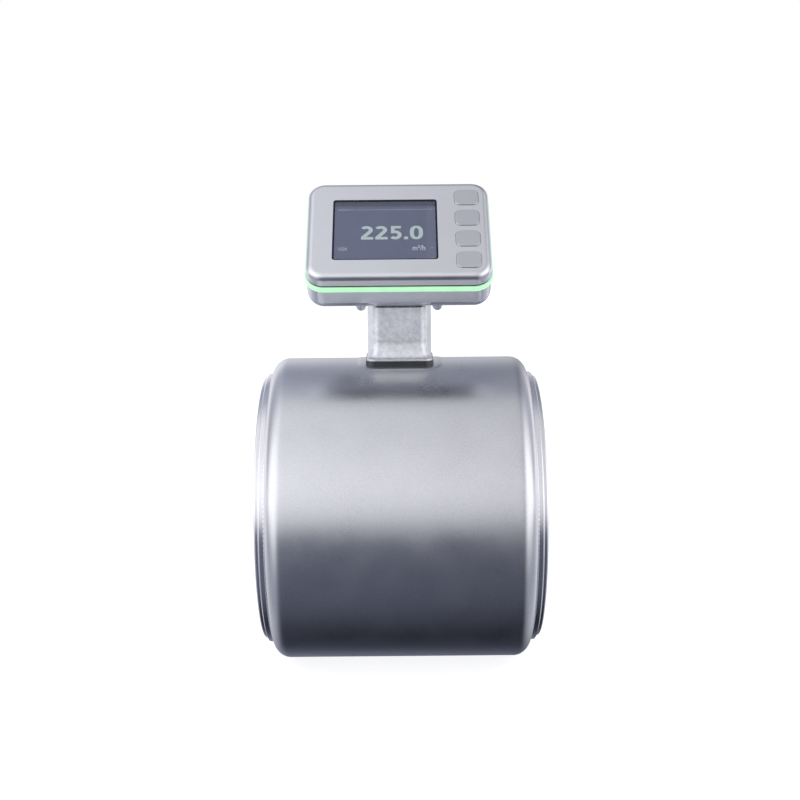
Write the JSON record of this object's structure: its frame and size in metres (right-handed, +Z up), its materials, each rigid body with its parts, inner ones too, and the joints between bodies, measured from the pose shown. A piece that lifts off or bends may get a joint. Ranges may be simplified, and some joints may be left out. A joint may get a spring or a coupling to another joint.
{
  "type": "electromagnetic flow meter",
  "caption": "Compact inline electromagnetic flow meter: steel drum with stepped end rings, a cast neck and a tilted display head with push keys and a status light ring.",
  "frame": {"origin": "on the pipe axis, at the middle of the drum's length", "axes": "+X along the flow, from inlet to outlet; +Z up to the head; the display looks towards -Y and up"},
  "size_m": [0.1546, 0.17, 0.2665],
  "materials": {
    "drum_steel": "fine satin, blasted",
    "ring_steel": "turned",
    "tube_steel": "drawn",
    "liner_plastic": "moulded, off white",
    "seal_rubber": "matt black",
    "electrode_steel": "polished",
    "bush_plastic": "moulded",
    "nut_steel": "bright",
    "magnet_steel": "phosphated",
    "bobbin_plastic": "glass filled",
    "copper": "enamelled wire",
    "board_green": "solder mask",
    "wire_skin": "sleeved",
    "neck_steel": "cast and blasted",
    "housing_steel": "polished",
    "cover_steel": "brushed satin",
    "key_steel": "satin",
    "status_light": "lit, pale green",
    "chip_white": "moulded",
    "window_glass": "flat, dark tinted",
    "display_face": "dark panel with plain figures",
    "frame_plastic": "moulded",
    "mat_rubber": "silicone",
    "pin_gold": "plated",
    "insert_plastic": "moulded"
  },
  "bodies": {
    "meter": {"board_screws": "nut_steel", "coil_bobbin_lower": "bobbin_plastic", "coil_bobbin_upper": "bobbin_plastic", "coil_core_lower": "magnet_steel", "coil_core_upper": "magnet_steel", "coil_winding_lower": "copper", "coil_winding_upper": "copper", "connector_insert": "insert_plastic", "connector_nut": "nut_steel", "connector_pins": "pin_gold", "connector_seal": "seal_rubber", "connector_socket": "nut_steel", "cover_screws": "nut_steel", "cover_seal": "seal_rubber", "detection_electrode": "electrode_steel", "detection_electrode_bush": "bush_plastic", "display_frame": "frame_plastic", "display_module": "display_face", "display_window": "window_glass", "drum_shell": "drum_steel", "electrode_front": "electrode_steel", "electrode_front_bush": "bush_plastic", "electrode_nuts": "nut_steel", "electrode_rear": "electrode_steel", "electrode_rear_bush": "bush_plastic", "end_plate_inlet": "ring_steel", "end_plate_outlet": "ring_steel", "front_cover": "cover_steel", "head_gasket": "seal_rubber", "head_screws": "nut_steel", "key_mat": "mat_rubber", "led_ring": "status_light", "liner": "liner_plastic", "magnet_yoke": "magnet_steel", "main_board": "board_green", "measuring_tube": "tube_steel", "neck": "neck_steel", "neck_gasket": "seal_rubber", "neck_screws": "nut_steel", "pole_shoe_lower": "magnet_steel", "pole_shoe_upper": "magnet_steel", "process_seal_inlet": "seal_rubber", "process_seal_outlet": "seal_rubber", "rear_housing": "housing_steel", "sensor_board": "board_green", "status_leds": "chip_white", "temperature_probe": "electrode_steel", "temperature_probe_bush": "bush_plastic", "wire_harness": "wire_skin"},
    "key_1_body": {"key_1": "key_steel"},
    "key_2_body": {"key_2": "key_steel"},
    "key_3_body": {"key_3": "key_steel"},
    "key_4_body": {"key_4": "key_steel"}
  },
  "joints": [
    {"name": "key_1_press", "type": "slide", "parent": "meter", "child": "key_1_body", "axis": [0, 0.7071, -0.7071], "range_m": [0, 0.0005], "stiffness_N_per_m": 1500, "springref_m": -0.0003},
    {"name": "key_2_press", "type": "slide", "parent": "meter", "child": "key_2_body", "axis": [0, 0.7071, -0.7071], "range_m": [0, 0.0005], "stiffness_N_per_m": 1500, "springref_m": -0.0003},
    {"name": "key_3_press", "type": "slide", "parent": "meter", "child": "key_3_body", "axis": [0, 0.7071, -0.7071], "range_m": [0, 0.0005], "stiffness_N_per_m": 1500, "springref_m": -0.0003},
    {"name": "key_4_press", "type": "slide", "parent": "meter", "child": "key_4_body", "axis": [0, 0.7071, -0.7071], "range_m": [0, 0.0005], "stiffness_N_per_m": 1500, "springref_m": -0.0003}
  ]
}
